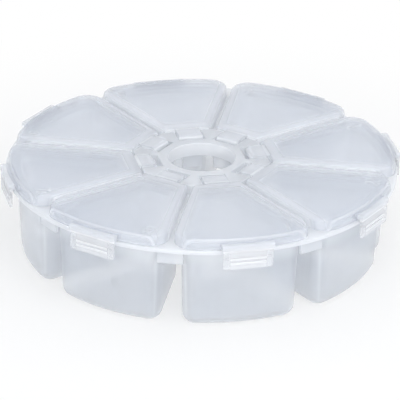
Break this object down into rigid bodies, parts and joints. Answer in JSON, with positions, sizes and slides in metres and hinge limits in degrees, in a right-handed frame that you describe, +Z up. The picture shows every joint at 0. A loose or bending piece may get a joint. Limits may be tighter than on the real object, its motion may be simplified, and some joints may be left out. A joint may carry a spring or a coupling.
{
  "type": "round parts organizer box",
  "caption": "Round translucent box of wedge-shaped cups round a central hole, each cup with its own hinged flat lid and snap latch, for sorting small parts.",
  "frame": {"origin": "centre of the underside, on the plane that the cup floors stand on", "axes": "+Z up along the centre hole, -Y towards lid 1 and its latch"},
  "size_m": [0.107, 0.107, 0.0269],
  "materials": {
    "tray_plastic": "translucent frosted polypropylene, faintly blue",
    "lid_plastic": "translucent frosted polypropylene, smoother on top",
    "latch_plastic": "translucent frosted polypropylene, thin and pale"
  },
  "bodies": {
    "tray": {"top_frame": "tray_plastic", "hinge_hub": "tray_plastic", "cup_1": "tray_plastic", "cup_2": "tray_plastic", "cup_3": "tray_plastic", "cup_4": "tray_plastic", "cup_5": "tray_plastic", "cup_6": "tray_plastic", "cup_7": "tray_plastic", "cup_8": "tray_plastic"},
    "lid_1_body": {"lid_1": "lid_plastic"},
    "latch_1_body": {"latch_1": "latch_plastic"},
    "lid_2_body": {"lid_2": "lid_plastic"},
    "latch_2_body": {"latch_2": "latch_plastic"},
    "lid_3_body": {"lid_3": "lid_plastic"},
    "latch_3_body": {"latch_3": "latch_plastic"},
    "lid_4_body": {"lid_4": "lid_plastic"},
    "latch_4_body": {"latch_4": "latch_plastic"},
    "lid_5_body": {"lid_5": "lid_plastic"},
    "latch_5_body": {"latch_5": "latch_plastic"},
    "lid_6_body": {"lid_6": "lid_plastic"},
    "latch_6_body": {"latch_6": "latch_plastic"},
    "lid_7_body": {"lid_7": "lid_plastic"},
    "latch_7_body": {"latch_7": "latch_plastic"},
    "lid_8_body": {"lid_8": "lid_plastic"},
    "latch_8_body": {"latch_8": "latch_plastic"}
  },
  "joints": [
    {"name": "lid_1_hinge", "type": "hinge", "parent": "tray", "child": "lid_1_body", "pos_m": [0, -0.014, 0.02545], "axis": [-1, 0, 0], "range_deg": [0, 78]},
    {"name": "latch_1_hinge", "type": "hinge", "parent": "lid_1_body", "child": "latch_1_body", "pos_m": [0, -0.0528, 0.0243], "axis": [-1, 0, 0], "range_deg": [0, 25], "stiffness_Nm_per_rad": 0.02},
    {"name": "lid_2_hinge", "type": "hinge", "parent": "tray", "child": "lid_2_body", "pos_m": [0.0099, -0.0099, 0.02545], "axis": [0.7071, 0.7071, 0], "range_deg": [-78, 0]},
    {"name": "latch_2_hinge", "type": "hinge", "parent": "lid_2_body", "child": "latch_2_body", "pos_m": [0.03734, -0.03734, 0.0243], "axis": [-0.7071, -0.7071, 0], "range_deg": [0, 25], "stiffness_Nm_per_rad": 0.02},
    {"name": "lid_3_hinge", "type": "hinge", "parent": "tray", "child": "lid_3_body", "pos_m": [0.014, 0, 0.02545], "axis": [0, -1, 0], "range_deg": [0, 78]},
    {"name": "latch_3_hinge", "type": "hinge", "parent": "lid_3_body", "child": "latch_3_body", "pos_m": [0.0528, 0, 0.0243], "axis": [0, -1, 0], "range_deg": [0, 25], "stiffness_Nm_per_rad": 0.02},
    {"name": "lid_4_hinge", "type": "hinge", "parent": "tray", "child": "lid_4_body", "pos_m": [0.0099, 0.0099, 0.02545], "axis": [-0.7071, 0.7071, 0], "range_deg": [-78, 0]},
    {"name": "latch_4_hinge", "type": "hinge", "parent": "lid_4_body", "child": "latch_4_body", "pos_m": [0.03734, 0.03734, 0.0243], "axis": [0.7071, -0.7071, 0], "range_deg": [0, 25], "stiffness_Nm_per_rad": 0.02},
    {"name": "lid_5_hinge", "type": "hinge", "parent": "tray", "child": "lid_5_body", "pos_m": [0, 0.014, 0.02545], "axis": [1, 0, 0], "range_deg": [0, 78]},
    {"name": "latch_5_hinge", "type": "hinge", "parent": "lid_5_body", "child": "latch_5_body", "pos_m": [0, 0.0528, 0.0243], "axis": [1, 0, 0], "range_deg": [0, 25], "stiffness_Nm_per_rad": 0.02},
    {"name": "lid_6_hinge", "type": "hinge", "parent": "tray", "child": "lid_6_body", "pos_m": [-0.0099, 0.0099, 0.02545], "axis": [-0.7071, -0.7071, 0], "range_deg": [-78, 0]},
    {"name": "latch_6_hinge", "type": "hinge", "parent": "lid_6_body", "child": "latch_6_body", "pos_m": [-0.03734, 0.03734, 0.0243], "axis": [0.7071, 0.7071, 0], "range_deg": [0, 25], "stiffness_Nm_per_rad": 0.02},
    {"name": "lid_7_hinge", "type": "hinge", "parent": "tray", "child": "lid_7_body", "pos_m": [-0.014, 0, 0.02545], "axis": [0, 1, 0], "range_deg": [0, 78]},
    {"name": "latch_7_hinge", "type": "hinge", "parent": "lid_7_body", "child": "latch_7_body", "pos_m": [-0.0528, 0, 0.0243], "axis": [0, 1, 0], "range_deg": [0, 25], "stiffness_Nm_per_rad": 0.02},
    {"name": "lid_8_hinge", "type": "hinge", "parent": "tray", "child": "lid_8_body", "pos_m": [-0.0099, -0.0099, 0.02545], "axis": [0.7071, -0.7071, 0], "range_deg": [-78, 0]},
    {"name": "latch_8_hinge", "type": "hinge", "parent": "lid_8_body", "child": "latch_8_body", "pos_m": [-0.03734, -0.03734, 0.0243], "axis": [-0.7071, 0.7071, 0], "range_deg": [0, 25], "stiffness_Nm_per_rad": 0.02}
  ]
}
